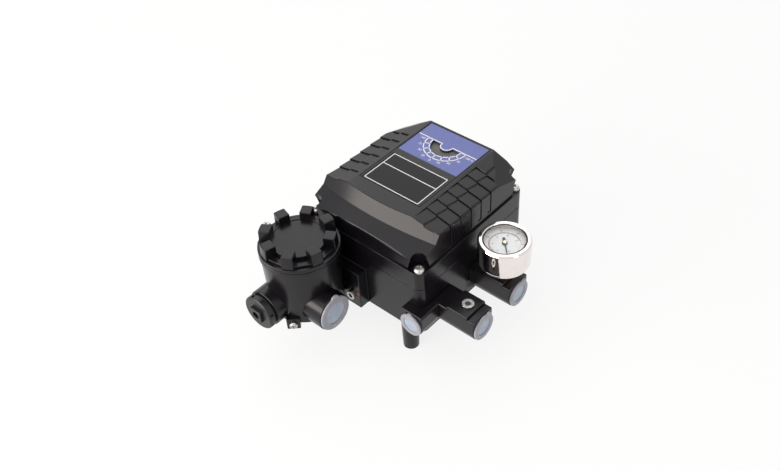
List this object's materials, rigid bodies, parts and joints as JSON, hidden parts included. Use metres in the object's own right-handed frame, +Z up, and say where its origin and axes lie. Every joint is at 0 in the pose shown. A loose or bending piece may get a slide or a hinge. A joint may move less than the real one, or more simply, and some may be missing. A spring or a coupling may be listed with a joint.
{
  "type": "valve positioner",
  "caption": "Rotary electro-pneumatic valve positioner: cast housing on legs, ribbed cover with dial window, round terminal box, capped air ports and a gauge.",
  "frame": {"origin": "feedback shaft axis at the plane of the leg ends", "axes": "+Z up along the shaft, +X toward the side with the gauge and the two side ports, +Y toward the back, away from the terminal box"},
  "size_m": [0.1861, 0.2171, 0.1255],
  "materials": {
    "black_paint": "semi-gloss black coat on die-cast aluminium",
    "steel_screw": "zinc-plated steel",
    "rubber": "moulded nitrile rubber",
    "blue_plate": "printed aluminium plate",
    "black_plate": "printed plate, matt black",
    "grey_paint": "grey enamel",
    "window": "clear polycarbonate",
    "lens": "clear polycarbonate",
    "steel": "machined stainless steel",
    "brass": "turned brass",
    "magnet": "sintered magnet",
    "copper": "enamelled copper winding",
    "aluminium": "machined and anodised",
    "terminal_plastic": "moulded polyamide",
    "black_plastic": "moulded black polyamide",
    "cap_plastic": "translucent polyethylene",
    "chrome": "polished chrome-plated steel",
    "dial_white": "white enamelled dial",
    "black_enamel": "black enamel"
  },
  "bodies": {
    "base": {"base_housing": "black_paint", "legs": "black_paint", "front_port_boss": "black_paint", "mid_port_boss": "black_paint", "gauge_port_boss": "black_paint", "cover_gasket": "rubber", "lower_bush": "brass", "upper_bush": "brass", "shaft_seal": "rubber", "lever_pivot": "steel", "motor_yoke": "steel", "motor_magnets": "magnet", "motor_core": "steel", "motor_coil": "copper", "flexure_block": "steel", "nozzle": "brass", "pilot_body": "aluminium", "pilot_end_caps": "aluminium", "adjuster_bracket": "steel", "terminal_housing": "black_paint", "neck_gasket": "rubber", "neck_screws": "steel_screw", "terminal_block": "terminal_plastic", "terminal_screws": "brass", "cap_lock_screw": "steel_screw", "ground_screw": "steel_screw", "conduit_plug": "black_plastic", "gauge_port_plug": "steel_screw", "gauge_case": "chrome", "gauge_stem": "brass", "gauge_movement": "brass", "gauge_dial": "dial_white", "gauge_lens": "lens", "gauge_bezel": "chrome"},
    "cover": {"cover_shell": "black_paint", "cover_screws": "steel_screw", "dial_plate": "blue_plate", "dial_window": "window", "name_plate": "black_plate"},
    "shaft": {"main_shaft": "steel", "cam": "steel", "cam_nut": "brass", "indicator_disc": "grey_paint", "indicator_screw": "steel_screw"},
    "lever": {"follower_lever": "steel", "roller_pin": "steel", "feedback_spring": "steel"},
    "roller": {"roller": "steel"},
    "flapper": {"flapper": "steel"},
    "spool": {"pilot_spool": "steel"},
    "auto_manual": {"auto_manual_screw": "brass"},
    "zero_knob": {"zero_knob": "brass"},
    "span_knob": {"span_knob": "aluminium"},
    "cap_ring": {"cap_oring": "rubber"},
    "terminal_cap": {"terminal_cap": "black_paint"},
    "mid_cap": {"mid_dust_cap": "cap_plastic"},
    "gauge_cap": {"gauge_dust_cap": "cap_plastic"},
    "front_cap": {"front_dust_cap": "cap_plastic"},
    "conduit_cap": {"conduit_dust_cap": "cap_plastic"},
    "pointer": {"gauge_pointer": "black_enamel"}
  },
  "joints": [
    {"name": "cover_lift", "type": "slide", "parent": "base", "child": "cover", "axis": [0, 0, 1], "range_m": [0, 0.06]},
    {"name": "shaft_turn", "type": "hinge", "parent": "base", "child": "shaft", "pos_m": [0, 0, 0], "axis": [0, 0, -1], "range_deg": [0, 90]},
    {"name": "lever_swing", "type": "hinge", "parent": "base", "child": "lever", "pos_m": [0.01131, -0.04525, 0.035], "axis": [0, 0, 1], "range_deg": [0, 14.4], "deforming": ["feedback_spring"]},
    {"name": "roller_spin", "type": "hinge", "parent": "lever", "child": "roller", "pos_m": [-0.01697, -0.01697, 0.09], "axis": [0, 0, 1], "continuous": true},
    {"name": "flapper_tilt", "type": "hinge", "parent": "base", "child": "flapper", "pos_m": [-0.028, -0.05996, 0.042], "axis": [1, 0, 0], "range_deg": [-1, 1], "stiffness_Nm_per_rad": 0.4},
    {"name": "spool_slide", "type": "slide", "parent": "base", "child": "spool", "axis": [0, 1, 0], "range_m": [-0.001, 0.001], "stiffness_N_per_m": 300},
    {"name": "auto_manual_turn", "type": "hinge", "parent": "base", "child": "auto_manual", "pos_m": [0.0314, -0.0745, 0.0575], "axis": [0, 0, 1], "range_deg": [0, 90]},
    {"name": "zero_turn", "type": "hinge", "parent": "base", "child": "zero_knob", "pos_m": [-0.046, -0.036, 0.059], "axis": [0, 0, 1], "continuous": true},
    {"name": "span_turn", "type": "hinge", "parent": "base", "child": "span_knob", "pos_m": [-0.027, -0.036, 0.059], "axis": [0, 0, 1], "continuous": true},
    {"name": "cap_rise", "type": "slide", "parent": "base", "child": "cap_ring", "axis": [0, 0, 1], "range_m": [0, 0.009]},
    {"name": "cap_turn", "type": "hinge", "parent": "cap_ring", "child": "terminal_cap", "pos_m": [-0.0345, -0.1421, 0.0984], "axis": [0, 0, 1], "range_deg": [0, 2160]},
    {"name": "mid_cap_pull", "type": "slide", "parent": "base", "child": "mid_cap", "axis": [1, 0, 0], "range_m": [0, 0.03]},
    {"name": "gauge_cap_pull", "type": "slide", "parent": "base", "child": "gauge_cap", "axis": [1, 0, 0], "range_m": [0, 0.03]},
    {"name": "front_cap_pull", "type": "slide", "parent": "base", "child": "front_cap", "axis": [0, -1, 0], "range_m": [0, 0.03]},
    {"name": "conduit_cap_pull", "type": "slide", "parent": "base", "child": "conduit_cap", "axis": [1, 0, 0], "range_m": [0, 0.03]},
    {"name": "pointer_turn", "type": "hinge", "parent": "base", "child": "pointer", "pos_m": [0.0877, -0.0375, 0.0775], "axis": [0, 0, 1], "range_deg": [-315, 0]}
  ],
  "couplings": [
    {"joint": "lever_swing", "follows": "shaft_turn", "ratio": 0.16},
    {"joint": "roller_spin", "follows": "shaft_turn", "ratio": 4.7},
    {"joint": "cap_rise", "follows": "cap_turn", "m_per_rad": 0.00023873}
  ]
}
